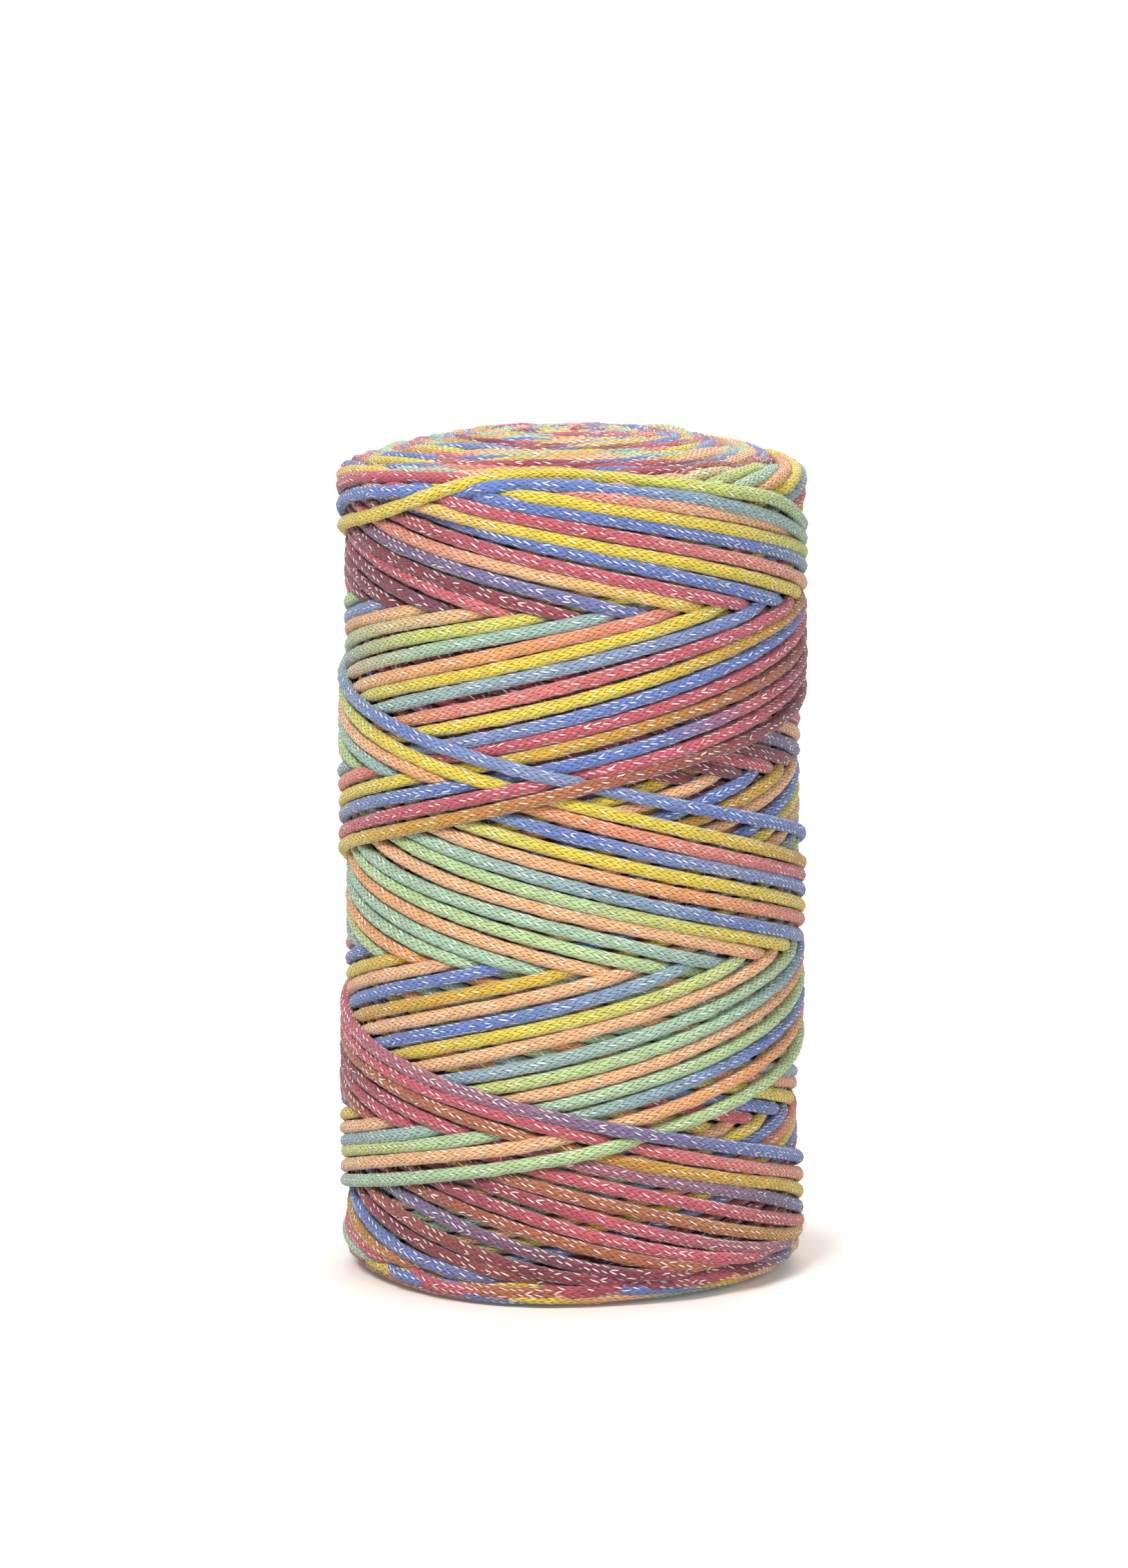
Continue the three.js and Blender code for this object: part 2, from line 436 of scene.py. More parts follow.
dye_places = np.array(dye_places, float)
dye_colours = np.array([SHADES[name] for name in dye_names], float) / 255

FOOT_SLIP_FROM, FOOT_SLIP = 76.0, -0.5  # turns older than this run half a place off the chart
FOOT_SLIP_REACH, FOOT_SLIP_FADE = 0.14, 0.04  # within this share of a pass from the bottom
DISPLAY_GAMMA = 2.2


def charted(place):
    """Shade at a place of the chart, blended straight between its entries."""
    place = np.mod(place, CHART_LENGTH)
    return np.stack([np.interp(place, dye_places, dye_colours[:, i]) for i in range(3)], -1)


def dyed(turns):
    """Linear colour of the cord a number of turns from its end, read off the chart."""
    place = turns / REPEAT_TURNS * CHART_LENGTH
    from_foot = np.abs(np.mod((turns - TOP_APEX_TURN) / PASS_TURNS, 1) - 0.5)
    slipped = np.clip((FOOT_SLIP_REACH - from_foot) / FOOT_SLIP_FADE, 0, 1)
    slipped = (slipped * (turns > FOOT_SLIP_FROM))[..., None]
    blend = charted(place) * (1 - slipped) + charted(place + FOOT_SLIP) * slipped
    return blend**DISPLAY_GAMMA


# Knitted cord
# A machine knits seven needles round into a narrow tube, so that its skin is columns of small V
# stitches, and single undyed fibres show as white flecks along the stitch legs.
STITCH_PITCH = 1.6
WALES = 7
LEG_SLANT = 0.85  # stitches by which a leg's edge runs on across half a column
UNEVEN_SCALE = 0.45  # of the noise that shifts the stitches, for each mm
UNEVEN_ALONG, UNEVEN_ROUND = 1.1, 0.7  # stitches and columns by which it shifts them
STRAND_SCALE, STRAND_STRETCH = 1.3, 5.0  # of the noise that draws fibres along a leg
LEG_THINNING, LEG_THINNING_POWER = 0.78, 2.2  # how far and how late a leg falls to its edges
LEG_POINTING, LEG_POINTING_POWER = 0.34, 3.0  # and how far and how late it falls to its ends
STRAND_RELIEF, STRAND_FRAY = 0.7, 0.8  # how far those fibres show in the relief and the flecks
LEG_TONE = 0.5  # how far one leg's tone may differ from the next
FLECK_SOLID, FLECK_EDGE, FLECK_POINTING = 0.26, 0.6, 0.5  # shares of a leg's half width


def node(tree, kind, inputs=None, **settings):
    """Adds a node with its settings, and feeds its inputs with numbers or other sockets."""
    made = tree.nodes.new(kind)
    for name, value in settings.items():
        setattr(made, name, value)
    for key, value in (inputs or {}).items():
        if isinstance(value, bpy.types.NodeSocket):
            tree.links.new(value, made.inputs[key])
        else:
            made.inputs[key].default_value = value
    return made


def maths(tree, operation, *values):
    """The output of one Math node fed with these numbers or sockets."""
    return node(tree, "ShaderNodeMath", dict(enumerate(values)), operation=operation).outputs[0]


def ramp(tree, value, low, high, start=0.0, end=1.0):
    """The value brought smoothly from the range low to high into the range start to end."""
    limits = {"From Min": low, "From Max": high, "To Min": start, "To Max": end}
    made = node(
        tree,
        "ShaderNodeMapRange",
        {"Value": value, **limits},
        interpolation_type="SMOOTHSTEP",
    )
    return made.outputs["Result"]


def tubular_knit_group():
    """Relief, flecks and a tone for each stitch leg, from millimetres along and a turn round.

    Each wale, or column of stitches, has a distance from its middle. The band number is the
    stitches along plus the slant times that distance, so its whole numbers part the legs of a V
    and its fraction is the place across a leg. The relief is the square root of one less a power
    of the distance from the leg's middle and one of the distance from its waist. A fleck is one
    leg of a stitch picked by chance, cut to a pointed blade.
    """
    tree = bpy.data.node_groups.new("tubular_knit", "ShaderNodeTree")
    for name in ("Along", "Round", "Fleck Share"):
        tree.interface.new_socket(name, in_out="INPUT", socket_type="NodeSocketFloat")
    for name in ("Relief", "Fleck", "Tone"):
        tree.interface.new_socket(name, in_out="OUTPUT", socket_type="NodeSocketFloat")
    given = tree.nodes.new("NodeGroupInput").outputs
    place = node(tree, "ShaderNodeCombineXYZ", {"X": given["Along"], "Y": given["Round"]})
    uneven = node(
        tree,
        "ShaderNodeTexNoise",
        {"Vector": place.outputs[0], "Scale": UNEVEN_SCALE, "Detail": 2.0},
    ).outputs["Fac"]
    along = maths(tree, "DIVIDE", given["Along"], STITCH_PITCH)
    along = maths(tree, "MULTIPLY_ADD", uneven, UNEVEN_ALONG, along)
    drift = maths(tree, "MULTIPLY", uneven, UNEVEN_ROUND)
    across = maths(tree, "MULTIPLY_ADD", given["Round"], WALES, drift)
    wale = maths(tree, "FLOOR", across)
    offset = maths(tree, "SUBTRACT", maths(tree, "FRACT", across), 0.5)
    side = maths(tree, "GREATER_THAN", offset, 0.0)
    from_middle = maths(tree, "MULTIPLY", maths(tree, "ABSOLUTE", offset), 2.0)
    band = maths(tree, "MULTIPLY_ADD", from_middle, LEG_SLANT, along)
    stitch = maths(tree, "FLOOR", band)
    leg = maths(tree, "FRACT", band)
    from_leg = maths(tree, "ABSOLUTE", maths(tree, "MULTIPLY_ADD", leg, 2.0, -1.0))
    from_waist = maths(tree, "ABSOLUTE", maths(tree, "MULTIPLY_ADD", from_middle, 2.0, -1.0))
    column = maths(tree, "MULTIPLY_ADD", wale, 2.0, side)
    run = node(
        tree,
        "ShaderNodeCombineXYZ",
        {"X": along, "Y": maths(tree, "MULTIPLY", band, STRAND_STRETCH), "Z": column},
    )
    strand = node(
        tree,
        "ShaderNodeTexNoise",
        {"Vector": run.outputs[0], "Scale": STRAND_SCALE, "Detail": 2.0},
    ).outputs["Fac"]
    thinner = maths(tree, "POWER", from_leg, LEG_THINNING_POWER)
    thinner = maths(tree, "MULTIPLY", thinner, LEG_THINNING)
    pointed = maths(tree, "POWER", from_waist, LEG_POINTING_POWER)
    pointed = maths(tree, "MULTIPLY", pointed, LEG_POINTING)
    swell = maths(tree, "SUBTRACT", maths(tree, "SUBTRACT", 1.0, thinner), pointed)
    ripple = maths(tree, "SUBTRACT", strand, 0.5)
    swell = maths(tree, "MULTIPLY_ADD", ripple, STRAND_RELIEF, swell)
    relief = maths(tree, "SQRT", maths(tree, "MAXIMUM", swell, 0.0))
    cell = node(tree, "ShaderNodeCombineXYZ", {"X": stitch, "Y": wale})
    chance = node(tree, "ShaderNodeTexWhiteNoise", {"Vector": cell.outputs[0]})
    tone = node(tree, "ShaderNodeSeparateColor", {"Color": chance.outputs["Color"]})
    either = maths(tree, "MULTIPLY", given["Fleck Share"], 2.0)
    right_leg = maths(tree, "GREATER_THAN", tone.outputs["Red"], 0.5)
    picked = maths(
        tree,
        "MULTIPLY",
        maths(tree, "LESS_THAN", chance.outputs["Value"], either),
        maths(tree, "COMPARE", side, right_leg, 0.1),
    )
    blade = maths(tree, "POWER", from_waist, 2.0)
    reach = maths(tree, "MULTIPLY_ADD", blade, FLECK_POINTING, from_leg)
    reach = maths(tree, "MULTIPLY_ADD", ripple, STRAND_FRAY, reach)
    fleck = maths(tree, "MULTIPLY", picked, ramp(tree, reach, FLECK_EDGE, FLECK_SOLID))
    result = tree.nodes.new("NodeGroupOutput")
    tree.links.new(relief, result.inputs["Relief"])
    tree.links.new(fleck, result.inputs["Fleck"])
    tones = maths(tree, "MULTIPLY_ADD", tone.outputs["Green"], LEG_TONE, strand)
    tree.links.new(tones, result.inputs["Tone"])
    return tree


TUBULAR_KNIT = tubular_knit_group()

DARK_DYE, PALE_DYE = 0.12, 0.5  # luminance
FLECKS_ON_PALE, FLECKS_ON_DARK = 0.6, 1.6  # times the share of flecked stitches
FLECK_COLOUR, FLECK_COVER = (0.86, 0.83, 0.8, 1), 0.85
# The dye is darkened as painted shade in the slits and lifted a little as painted light on the leg
# tops
SLIT, LEG_TOP, LEG_TOP_PAINTED_LIGHT = 0.2, 0.95, 1.06  # relief in the slit and on the leg's top
TONE_SPREAD, TONE_LOWEST = 0.42, 0.57
FUZZ_SCALE, FUZZ_RELIEF = 4200.0, 0.18


def new_material(name):
    """A material with its node tree and its shader."""
    material = bpy.data.materials.new(name)
    material.use_nodes = True
    return material, material.node_tree, material.node_tree.nodes["Principled BSDF"]


def toned(tree, colour, shade):
    """The colour times the shade."""
    return node(
        tree, "ShaderNodeVectorMath", {0: colour, "Scale": shade}, operation="SCALE"
    ).outputs[0]


def mixed(tree, factor, first, second):
    """The first colour blended straight into the second by the factor."""
    return node(
        tree,
        "ShaderNodeMix",
        {"Factor": factor, "A": first, "B": second},
        data_type="RGBA",
    ).outputs["Result"]


def cord_material(name, fleck_share, darkest_painted_shade):
    """Dyed knitted cotton: the dye, with painted shade in the slits between the stitch legs.

    The dye attribute is multiplied by a ramp of painted shade, darkest in the slits and a little
    above the dye on the leg tops, and by each leg's own tone, and the undyed flecks, of which dark
    dye shows more, are laid over it.
    """
    material, tree, shader = new_material(name)
    dye = node(tree, "ShaderNodeAttribute", attribute_name="dye")
    unwound = node(tree, "ShaderNodeUVMap", uv_map="cord")
    place = node(tree, "ShaderNodeSeparateXYZ", {"Vector": unwound.outputs["UV"]})
    luminance = node(tree, "ShaderNodeRGBToBW", {"Color": dye.outputs["Color"]})
    fewest, most = fleck_share * FLECKS_ON_PALE, fleck_share * FLECKS_ON_DARK
    share = ramp(tree, luminance.outputs["Val"], PALE_DYE, DARK_DYE, fewest, most)
    knit = node(
        tree,
        "ShaderNodeGroup",
        {"Along": place.outputs["X"], "Round": place.outputs["Y"], "Fleck Share": share},
        node_tree=TUBULAR_KNIT,
    )
    relief = knit.outputs["Relief"]
    # Painted shade by relief: darkest in the slits, a little above the dye on the leg tops.
    slit_painted_shade = ramp(tree, relief, SLIT, LEG_TOP, darkest_painted_shade, LEG_TOP_PAINTED_LIGHT)
    tone = maths(tree, "MULTIPLY_ADD", knit.outputs["Tone"], TONE_SPREAD, TONE_LOWEST)
    shade = maths(tree, "MULTIPLY", slit_painted_shade, tone)
    shaded = toned(tree, dye.outputs["Color"], shade)
    fleck = maths(tree, "MULTIPLY", knit.outputs["Fleck"], FLECK_COVER)
    flecked = mixed(tree, fleck, shaded, FLECK_COLOUR)
    tree.links.new(flecked, shader.inputs["Base Color"])
    fibre = node(
        tree,
        "ShaderNodeTexNoise",
        {"Vector": node(tree, "ShaderNodeTexCoord").outputs["Object"], "Scale": FUZZ_SCALE},
    )
    height = maths(tree, "MULTIPLY_ADD", fibre.outputs["Fac"], FUZZ_RELIEF, relief)
    bump = node(tree, "ShaderNodeBump", {"Height": height, "Strength": 0.9, "Distance": 0.0003})
    tree.links.new(bump.outputs["Normal"], shader.inputs["Normal"])
    shader.inputs["Roughness"].default_value = 0.92
    shader.inputs["Specular IOR Level"].default_value = 0.25
    shader.inputs["Sheen Weight"].default_value = 0.35
    shader.inputs["Sheen Roughness"].default_value = 0.5
    return material


# Wound turns
# The newest twenty-two passes of the cord, which cover the side. They are one unbroken length,
# cut into six objects end to end only to keep each mesh small.
TURN_LENGTH = 269.5
TURN_PIECES = 6
CORD_SIDES = 10
CORD_WIDTH = CORD_DIAMETER * 0.98
CORD_THICKNESS = CORD_DIAMETER * 0.92  # the winding tension flattens it a little
STITCH_UNEVENNESS = 0.045  # of the cord's radius
BAKE_MARGIN = 0.04  # of a row's height in the baking map
# The darkest painted shade in the slits, as a share of the dye.
FLECK_SHARE, SLIT_PAINTED_SHADE = 0.19, 0.12
MM = 0.001

skin_random = np.random.default_rng(8)


def mesh_of(name, points, corners, sides):
    """A mesh from points in millimetres, every face's corners in turn, and each face's sides."""
    mesh = bpy.data.meshes.new(name)
    mesh.vertices.add(points.size // 3)
    mesh.vertices.foreach_set("co", (points * MM).astype(np.float32).reshape(-1))
    mesh.loops.add(corners.size)
    mesh.loops.foreach_set("vertex_index", corners.astype(np.int32).reshape(-1))
    mesh.polygons.add(sides.size)
    mesh.polygons.foreach_set("loop_start", (np.cumsum(sides) - sides).astype(np.int32))
    mesh.polygons.foreach_set("loop_total", sides.astype(np.int32))
    mesh.update(calc_edges=True)
    return mesh


def tube_mesh(name, points, outward, along, width, thickness, sides):
    """Closed tubes round centre lines: an ellipse swept along each row of points.

    Points and outward directions are strands by rings by 3. The ellipse's thickness lies along
    the outward direction and its width square to that and to the cord. Each point of the skin
    stands a little proud or low at random, as stitches do.
    """
    strands, rings = points.shape[:2]
    tangent = np.gradient(points, axis=1)
    tangent /= np.linalg.norm(tangent, axis=-1, keepdims=True)
    across = np.cross(tangent, outward)
    across /= np.linalg.norm(across, axis=-1, keepdims=True)
    up = np.cross(across, tangent)
    turn = 2 * np.pi * np.arange(sides) / sides
    wide = np.broadcast_to(width, (strands, rings))[..., None, None] / 2
    thick = np.broadcast_to(thickness, (strands, rings))[..., None, None] / 2
    proud = skin_random.normal(1, STITCH_UNEVENNESS, (strands, rings, sides, 1))
    skin = thick * np.cos(turn)[:, None] * up[:, :, None]
    skin = skin + wide * np.sin(turn)[:, None] * across[:, :, None]
    skin = points[:, :, None] + proud * skin

    index = np.arange(strands * rings * sides).reshape(strands, rings, sides)
    beside = np.roll(index, -1, axis=2)
    quads = np.stack([index[:, :-1], beside[:, :-1], beside[:, 1:], index[:, 1:]], -1)
    caps = [index[:, 0, ::-1].reshape(-1), index[:, -1].reshape(-1)]
    corners = np.concatenate([quads.reshape(-1), *caps])
    totals = np.concatenate([np.full(quads.size // 4, 4), np.full(2 * strands, sides)])
    mesh = mesh_of(name, skin, corners, totals)
    mesh.polygons.foreach_set("use_smooth", np.ones(totals.size, bool))
    cord_uv(mesh, along, sides, quads.shape[:3], corners.size)
    return mesh


def cord_uv(mesh, along, sides, shape, corner_count):
    """Two UV maps, "cord" and "OFBake".

    "cord" is the millimetres along by the share of a turn round. "OFBake" is the cord's skin cut
    into lengths that lie under each other as rows.
    """
    strands, segments, _ = shape
    side = np.broadcast_to(np.arange(sides), shape)
    start = np.broadcast_to(along[:, :-1, None], shape)
    end = np.broadcast_to(along[:, 1:, None], shape)
    round_low, round_high = side / sides, (side + 1) / sides
    cord = np.stack(
        [start, round_low, start, round_high, end, round_high, end, round_low], -1
    ).reshape(-1)
    number = np.arange(strands * segments).reshape(strands, segments, 1)
    spacing = np.mean(np.diff(along, axis=1))
    columns = int(np.ceil(np.sqrt(strands * segments * np.pi * CORD_DIAMETER / spacing)))
    rows = -(-strands * segments // columns)
    row, column = np.broadcast_arrays(number // columns, number % columns + 0 * side)
    low = (row + BAKE_MARGIN + (1 - 2 * BAKE_MARGIN) * round_low) / rows
    high = (row + BAKE_MARGIN + (1 - 2 * BAKE_MARGIN) * round_high) / rows
    left, right = column / columns, (column + 1) / columns
    baked = np.stack([left, low, left, high, right, high, right, low], -1).reshape(-1)
    for name, values in (("OFBake", baked), ("cord", cord)):
        layer = mesh.uv_layers.new(name=name)
        filled = np.zeros(corner_count * 2)
        filled[: values.size] = values
        layer.data.foreach_set("uv", filled.astype(np.float32))


def dye_mesh(mesh, colours):
    """Stores a colour for each vertex as the attribute "dye"."""
    flat = np.ones((len(mesh.vertices), 4))
    flat[:, :3] = colours.reshape(-1, 3)
    mesh.attributes.new("dye", "FLOAT_COLOR", "POINT").data.foreach_set(
        "color", flat.astype(np.float32).reshape(-1)
    )


def add_piece(name, mesh, material):
    """Links a piece that rides on the ball, stands for its solid and takes the given material."""
    mesh.materials.append(material)
    piece = in_scene(name, mesh)
    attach(piece, "root")
    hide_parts("wound_ball")


cotton = cord_material("space_dyed_cotton", FLECK_SHARE, SLIT_PAINTED_SHADE)
ring_count = int((CORDS_ROUND * PASS_TURNS - END_TURN) * RINGS_IN_A_TURN)
ring_turns = END_TURN + np.arange(ring_count) / RINGS_IN_A_TURN
turn_points, turn_outward, turn_upper = wound_path(ring_turns)
turn_along = ring_turns * TURN_LENGTH
turn_colours = dyed(ring_turns)

cuts = np.linspace(0, ring_count - 1, TURN_PIECES + 1).astype(int)
for number, (first, last) in enumerate(zip(cuts[:-1], cuts[1:]), 1):
    part = slice(first, last + 1)
    mesh = tube_mesh(
        f"wound_turns_{number}",
        turn_points[None, part],
        turn_outward[None, part],
        turn_along[None, part],
        CORD_WIDTH,
        CORD_THICKNESS,
        CORD_SIDES,
    )
    dye_mesh(mesh, np.repeat(turn_colours[part], CORD_SIDES, axis=0))
    add_piece(f"wound_turns_{number}", mesh, cotton)


# Crown and foot loops
# Older passes end further in, so each end of the ball is a spiral of their reversal loops. Every
# loop lies over the older one beside it and dives under the newer one.
LOOP_BEND = 5.0  # mm in a squared radian
LOOP_START, LOOP_STOP = -1.05, 0.6  # radians from a loop's apex
LOOP_RINGS = 20
LOOP_SIDES = 8
LOOP_WANDER, LOOP_LIFT = 0.3, 0.2  # mm by which loops lie unevenly, sideways and in height
MOST_WANDER, MOST_LIFT = 0.9, 0.7
LOOP_SINK = 0.25  # mm by which all loops lie lower than the wound turns
DIVE_AFTER, DIVE_BEFORE = -0.2, -0.55  # radians from the apex outside which a loop dives
DIVE_SLOPE_AFTER, DIVE_SLOPE_BEFORE, DIVE_POWER = 4.2, 5.2, 1.2
TIP_TAPER, TIP_WIDTH = 0.12, 0.25  # radians over which a hidden end narrows to a quarter
LOOP_STITCH_SHIFT = 31.7  # mm of cord from a loop to the next, so that their stitches differ
BARE_MIDDLE = 2.5  # mm round the axis in which no loop fits

loop_random = np.random.default_rng(3)


def reversal_loops(name, last, at_top):
    """The loops of all older passes up to the last, at one end of the ball.

    The outline length is the apex's own, plus the spiral shift, less the bend times the squared
    angle from the apex. The depth grows towards both ends of each loop with a power of the angle
    past the dive's start, and newer cords push it deeper.
    """
    number = np.arange(CORDS_ROUND, last)[:, None]
    swing = np.linspace(LOOP_START, LOOP_STOP, LOOP_RINGS)[None]
    sideways, lift = loop_random.normal(0, (LOOP_WANDER, LOOP_LIFT), (len(number), 2)).T[..., None]
    sideways = np.clip(sideways, -MOST_WANDER, MOST_WANDER)
    lift = np.clip(lift, -MOST_LIFT, MOST_LIFT)
    if at_top:
        length = APEX_HEIGHT + LOOP_SPIRAL * number - LOOP_BEND * swing**2
        turns = TOP_APEX_TURN + number * PASS_TURNS + swing / (2 * np.pi)
    else:
        length = FOOT_APEX - LOOP_SPIRAL * number + LOOP_BEND * swing**2
        turns = TOP_APEX_TURN + (number + 0.5) * PASS_TURNS + swing / (2 * np.pi)
    length = length + sideways
    angle = FRONT_OFFSET + 2 * np.pi * (TOP_APEX_TURN + number * PASS_TURNS) + swing
    if not at_top:
        angle = angle + np.pi * PASS_TURNS
    dive = DIVE_SLOPE_AFTER * np.clip(swing - DIVE_AFTER, 0, None) ** DIVE_POWER
    dive = dive + DIVE_SLOPE_BEFORE * np.clip(DIVE_BEFORE - swing, 0, None) ** DIVE_POWER
    depth = CORD_DIAMETER / 2 + dive + LOOP_SINK + (lift if at_top else 0)
    columns = np.rint((angle - FRONT_OFFSET) / (2 * np.pi) * RINGS_IN_A_TURN).astype(int)
    pushed = pushed_depth(map_cells(np.mod(columns, RINGS_IN_A_TURN), length))
    depth = np.maximum(depth, np.minimum(pushed, DEEPEST))
    depth[:, 1:-1] = (depth[:, :-2] + depth[:, 1:-1] + depth[:, 2:]) / 3
    radius, z, tilt = on_outline(length, depth, angle)
    points, outward = in_space(radius, z, tilt, angle)
    step = np.linalg.norm(np.diff(points, axis=1), axis=-1)
    along = np.concatenate([np.zeros((len(number), 1)), np.cumsum(step, axis=1)], axis=1)
    along = along + number * LOOP_STITCH_SHIFT
    from_tip = np.minimum(swing - LOOP_START, LOOP_STOP - swing)
    taper = np.clip(from_tip / TIP_TAPER, TIP_WIDTH, 1)
    mesh = tube_mesh(
        name,
        points,
        outward,
        along,
        CORD_DIAMETER * taper,
        CORD_THICKNESS * taper,
        LOOP_SIDES,
    )
    dye_mesh(mesh, np.repeat(dyed(turns).reshape(-1, 3), LOOP_SIDES, axis=0))
    add_piece(name, mesh, cotton)


crown_count = int((CROWN_MIDDLE - APEX_HEIGHT - BARE_MIDDLE) / LOOP_SPIRAL)
reversal_loops("crown_loops", crown_count, at_top=True)
foot_count = int((FOOT_APEX - FOOT_START + FOOT_RADIUS - BARE_MIDDLE) / LOOP_SPIRAL)
reversal_loops("foot_loops", foot_count, at_top=False)


# Inner layers
# Under the crossing turns lie the older layers, of which only stripes show in the gaps, their dye
# darkened as painted shade. They are one closed body with the outline of the ball, lowered by the
# layers that lie on it.
BODY_COLUMNS = 176
BODY_ROWS = 120
BODY_DEPTH = 3.2  # mm, just over a cord, below the outline where the newest cords lie
BODY_POLE = 1.5  # mm round the axis that its flat top and bottom faces close
BODY_LOWEST = 0.8  # mm above the floor
STRIPE_SCALE = (14.0, 14.0, 360.0)
# The stripes' dye is darkened to this share, as painted shade in the gaps.
STRIPE_PAINTED_SHADE = 0.45
STRIPES = [(0.3, "maroon"), (0.42, "blue"), (0.5, "pink"), (0.58, "yellow"), (0.7, "mint")]


def inner_layers():
    """The outline turned round the axis, lowered by a depth and by the layer step's ages."""
    lowest, highest = FOOT_START - FOOT_RADIUS + BODY_POLE, CROWN_MIDDLE - BODY_POLE
    lengths = np.linspace(lowest, highest, BODY_ROWS)[:, None]
    angles = np.linspace(0, 2 * np.pi, BODY_COLUMNS, endpoint=False)[None]
    lengths, angles = np.broadcast_arrays(lengths, angles)
    rising_age, falling_age = ages_at(angles, np.clip(lengths, FOOT_APEX, APEX_HEIGHT))
    level = LAYER_STEP * (rising_age + falling_age) / (2 * np.pi) * end_fade(lengths)
    radius, z, tilt = on_outline(lengths, BODY_DEPTH + level, angles)
    points = in_space(radius, np.maximum(z, BODY_LOWEST), tilt, angles)[0]
    index = np.arange(points.size // 3).reshape(BODY_ROWS, BODY_COLUMNS)
    beside = np.roll(index, -1, axis=1)
    quads = np.stack([index[:-1], beside[:-1], beside[1:], index[1:]], -1).reshape(-1, 4)
    faces = [*quads.tolist(), index[0, ::-1].tolist(), index[-1].tolist()]
    mesh = bpy.data.meshes.new("inner_layers")
    mesh.from_pydata((points.reshape(-1, 3) * MM).tolist(), [], faces)
    mesh.polygons.foreach_set("use_smooth", np.ones(len(faces), bool))
    mesh.update()
    return mesh


def inner_material():
    """Dyed stripes in painted shade that wind round the body, from noise stretched flat."""
    material, tree, shader = new_material("inner_cotton")
    coordinates = node(tree, "ShaderNodeTexCoord").outputs["Object"]
    flattened = node(
        tree, "ShaderNodeMapping", {"Vector": coordinates, "Scale": STRIPE_SCALE}
    )
    stripes = node(tree, "ShaderNodeTexNoise", {"Vector": flattened.outputs[0], "Scale": 1.0})
    shades = node(tree, "ShaderNodeValToRGB", {"Fac": stripes.outputs["Fac"]})
    while len(shades.color_ramp.elements) < len(STRIPES):
        shades.color_ramp.elements.new(0.5)
    for element, (position, shade) in zip(shades.color_ramp.elements, STRIPES):
        element.position = position
        element.color = (*(np.array(SHADES[shade]) / 255) ** DISPLAY_GAMMA * STRIPE_PAINTED_SHADE, 1)
    tree.links.new(shades.outputs["Color"], shader.inputs["Base Color"])
    bump = node(
        tree, "ShaderNodeBump", {"Height": stripes.outputs["Fac"], "Distance": 0.001}
    )
    tree.links.new(bump.outputs["Normal"], shader.inputs["Normal"])
    shader.inputs["Roughness"].default_value = 0.95
    return material


add_piece("inner_layers", inner_layers(), inner_material())


# Loose fibres
# Carded cotton sheds short hairs that stand off the cord and blur its edge. Each is a closed
# spindle with a slight bend, rooted in the cord's skin.
FIBRE_COUNT = 16000
FIBRE_THICKNESS = 0.045
FIBRE_TIP = 0.8  # the second ring's size, times the first
FIBRE_SHORTEST, FIBRE_LONGEST = 0.5, 1.7
FIBRE_LEAN = 0.75  # radians by which roots stray round the cord's top
FIBRE_ROOT = 0.47  # cord diameters from its middle
FIBRE_ACROSS = 0.6  # how much less fibres run across the cord than along it
FIBRE_FLATTEST, FIBRE_STEEPEST = 0.15, 0.75  # rise for each mm of length
FIBRE_SPINE = (0.0, 0.35, 0.7, 1.0)  # places of the root, both rings and the tip
FIBRE_DYE, FIBRE_BARE = 0.75, 0.22  # a hair is paler than its cord
FIBRE_DARKEST, FIBRE_PALEST, FIBRE_PATCHES = 0.85, 1.15, 900.0

fibre_random = np.random.default_rng(5)


def loose_fibres(points, outward, colours):
    """Spindles: a root, two rings of three points and a tip, along a bent spine.

    Each starts at a point on the cord's rounded top and runs a random length along the cord,
    across it and outwards, and the outward part grows with the square root of the distance.
    """
    count = FIBRE_COUNT
    chosen = fibre_random.integers(1, len(points) - 1, count)
    along = points[chosen + 1] - points[chosen - 1]
    along /= np.linalg.norm(along, axis=1, keepdims=True)
    up = outward[chosen]
    across = np.cross(along, up)
    lean = fibre_random.normal(0, FIBRE_LEAN, count)[:, None]
    skin = np.cos(lean) * up + np.sin(lean) * across
    root = points[chosen] + CORD_DIAMETER * FIBRE_ROOT * skin
    size = fibre_random.uniform(FIBRE_SHORTEST, FIBRE_LONGEST, count)[:, None]
    drift = along * fibre_random.normal(0, 1, count)[:, None]
    drift = drift + across * fibre_random.normal(0, FIBRE_ACROSS, count)[:, None]
    drift /= np.linalg.norm(drift, axis=1, keepdims=True)
    rise = fibre_random.uniform(FIBRE_FLATTEST, FIBRE_STEEPEST, count)[:, None]
    steps = np.array(FIBRE_SPINE)[:, None, None]
    spine = root + size * (drift * steps + skin * rise * np.sqrt(steps))
    side = np.cross(drift, skin)
    side /= np.linalg.norm(side, axis=1, keepdims=True)
    corner = 2 * np.pi * np.arange(3)[:, None, None] / 3
    ring = FIBRE_THICKNESS / 2 * (np.cos(corner) * side + np.sin(corner) * skin)
    rings = [spine[1] + ring, spine[2] + ring * FIBRE_TIP]
    vertices = np.concatenate([spine[:1], *rings, spine[3:]]).transpose(1, 0, 2)
    triangles = [(0, 2, 1), (0, 3, 2), (0, 1, 3), (7, 4, 5), (7, 5, 6), (7, 6, 4)]
    for a, b in ((1, 2), (2, 3), (3, 1)):
        triangles += [(a, b, b + 3), (a, b + 3, a + 3)]
    corners = vertices.shape[1]
    faces = np.arange(count)[:, None, None] * corners + np.array(triangles)
    mesh = mesh_of("loose_fibres", vertices, faces, np.full(faces.size // 3, 3))
    dye_mesh(mesh, np.repeat(colours[chosen] * FIBRE_DYE + FIBRE_BARE, corners, axis=0))
    return mesh


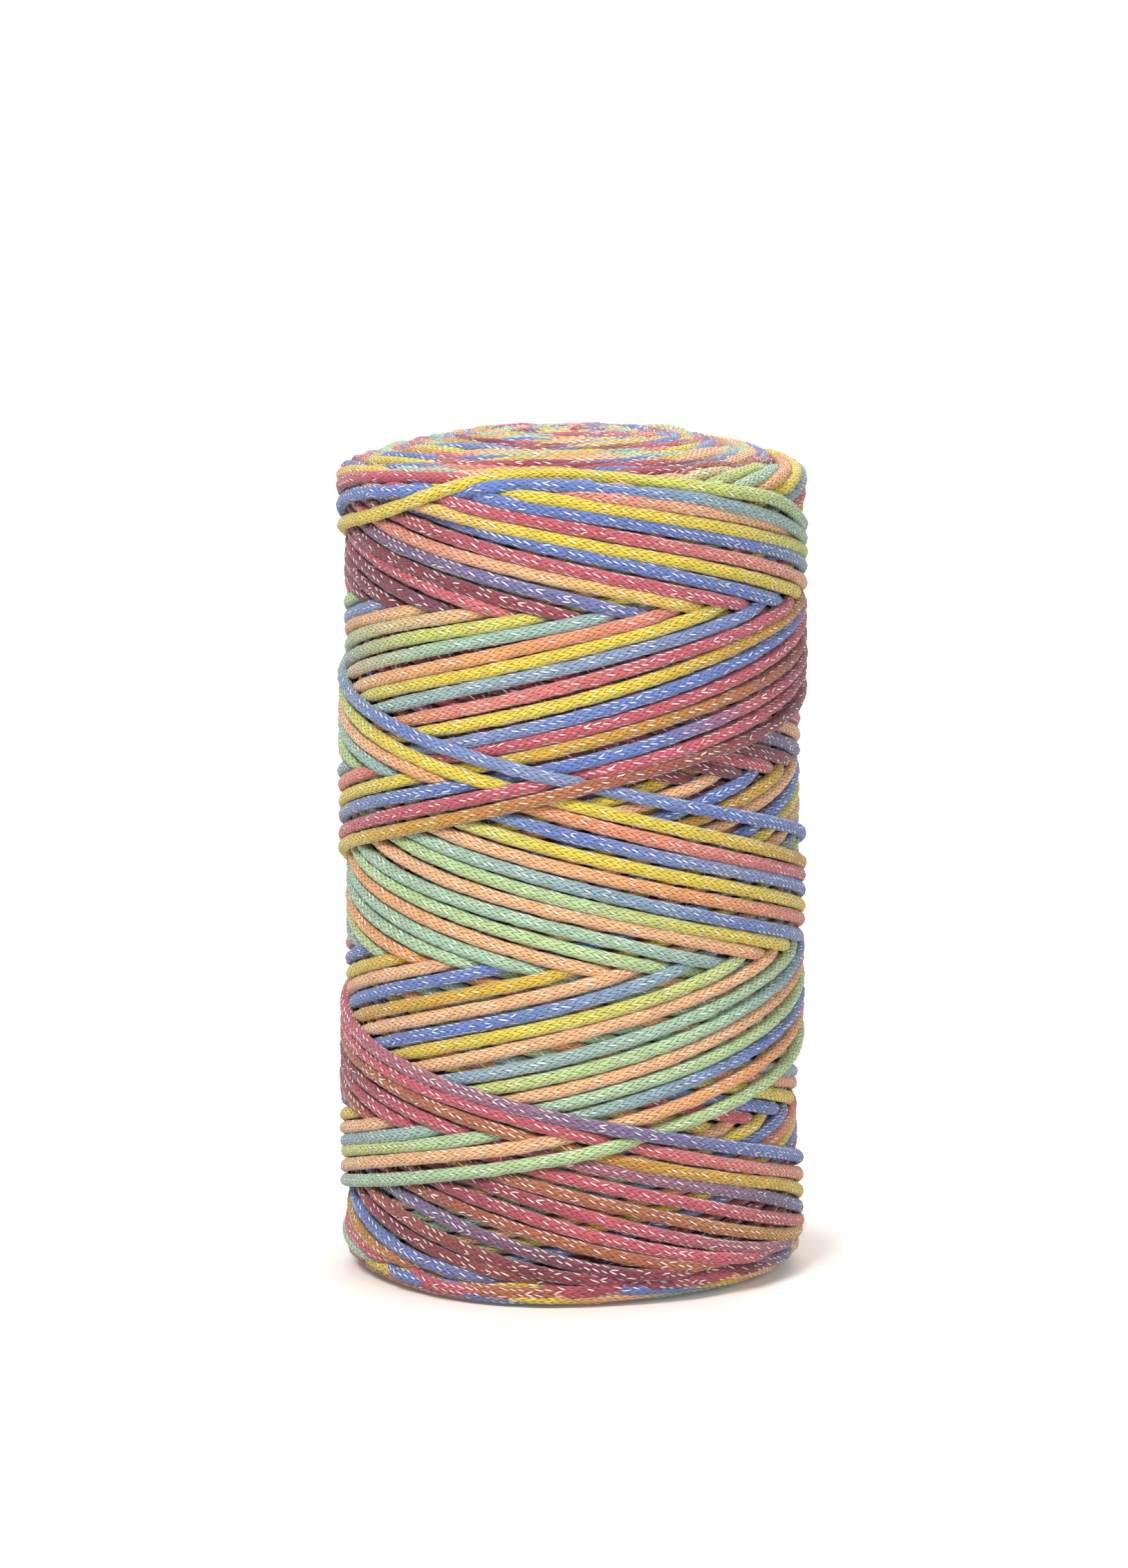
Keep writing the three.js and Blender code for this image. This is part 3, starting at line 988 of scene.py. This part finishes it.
def fibre_material():
    """The dye attribute, varied a little from hair to hair by noise."""
    material, tree, shader = new_material("cotton_fibre")
    dye = node(tree, "ShaderNodeAttribute", attribute_name="dye")
    coordinates = node(tree, "ShaderNodeTexCoord").outputs["Object"]
    noise = node(tree, "ShaderNodeTexNoise", {"Vector": coordinates, "Scale": FIBRE_PATCHES})
    shade = ramp(tree, noise.outputs["Fac"], 0.3, 0.7, FIBRE_DARKEST, FIBRE_PALEST)
    tree.links.new(toned(tree, dye.outputs["Color"], shade), shader.inputs["Base Color"])
    shader.inputs["Roughness"].default_value = 0.9
    return material


on_top = np.flatnonzero(turn_upper)
add_piece(
    "loose_fibres",
    loose_fibres(turn_points[on_top], turn_outward[on_top], turn_colours[on_top]),
    fibre_material(),
)


# Floor and light
# A plain white floor with a warm painted shadow next to the ball, that glows further out as the
# camera sees it, so that it runs out to white. The lights are large and soft, one of them behind
# the ball.
FLOOR_REACH = 60.0
# Next to the ball the floor's colour is a warm painted shadow, fading out to plain white.
FLOOR_PAINTED_SHADOW, FLOOR_FAR = (0.8, 0.73, 0.68, 1), (0.8, 0.8, 0.8, 1)
PAINTED_SHADOW_FROM, PAINTED_SHADOW_TO = 0.044, 0.085  # metres from the ball's axis over which the warmth fades
GLOW_FROM, GLOW_TO = 0.044, 0.075  # and over which the glow grows
GLOW_LEAST, GLOW_MOST = 0.1, 0.91
WORLD_LIGHT, WORLD_SEEN = 0.12, 0.88  # strength for all rays, and what the camera sees besides
LIGHT_AIM = (0, 0, 0.08)
LIGHTS = [
    # (name, place, size, watts)
    ("key", (-0.5, -1.0, 1.2), 0.5, 27.0),
    ("fill", (0.9, -1.1, 0.7), 0.9, 9.0),
    ("top", (0.1, 0.3, 1.6), 1.2, 12.0),
    ("back", (0.3, 1.3, 0.8), 1.0, 12.0),
]


def floor_material():
    """White that glows for the camera's rays, by a ramp of the distance from the ball's axis."""
    material, tree, shader = new_material("white_floor")
    shader.inputs["Roughness"].default_value = 0.9
    shader.inputs["Emission Color"].default_value = (1, 1, 1, 1)
    seen = node(tree, "ShaderNodeLightPath").outputs["Is Camera Ray"]
    coordinates = node(tree, "ShaderNodeTexCoord").outputs["Object"]
    from_ball = node(
        tree, "ShaderNodeVectorMath", {0: coordinates}, operation="LENGTH"
    ).outputs["Value"]
    brightening = ramp(tree, from_ball, GLOW_FROM, GLOW_TO, GLOW_LEAST, GLOW_MOST)
    glow = maths(tree, "MULTIPLY", seen, brightening)
    # Painted shadow: a warmer, darker base colour next to the ball.
    painted_shadow_tint = mixed(tree, ramp(tree, from_ball, PAINTED_SHADOW_FROM, PAINTED_SHADOW_TO), FLOOR_PAINTED_SHADOW, FLOOR_FAR)
    tree.links.new(painted_shadow_tint, shader.inputs["Base Color"])
    tree.links.new(glow, shader.inputs["Emission Strength"])
    return material


floor_mesh = bpy.data.meshes.new("floor")
floor_mesh.from_pydata(
    [(x * FLOOR_REACH, y * FLOOR_REACH, 0) for x, y in ((-1, -1), (1, -1), (1, 1), (-1, 1))],
    [],
    [(0, 1, 2, 3)],
)
floor_mesh.materials.append(floor_material())
in_scene("floor", floor_mesh)

world = bpy.data.worlds.new("studio")
world.use_nodes = True
background = world.node_tree.nodes["Background"]
background.inputs["Color"].default_value = (1, 1, 1, 1)
world_seen = node(world.node_tree, "ShaderNodeLightPath").outputs["Is Camera Ray"]
world_glow = maths(world.node_tree, "MULTIPLY_ADD", world_seen, WORLD_SEEN, WORLD_LIGHT)
world.node_tree.links.new(world_glow, background.inputs["Strength"])
bpy.context.scene.world = world

for light_name, light_place, light_size, watts in LIGHTS:
    light = bpy.data.lights.new(light_name, "AREA")
    light.size = light_size
    light.energy = watts
    lamp = in_scene(light_name, light)
    lamp.location = light_place
    lamp.rotation_mode = "QUATERNION"
    aim = Vector(LIGHT_AIM) - Vector(light_place)
    lamp.rotation_quaternion = aim.to_track_quat("-Z", "Y")

bpy.context.scene.view_settings.view_transform = "Standard"
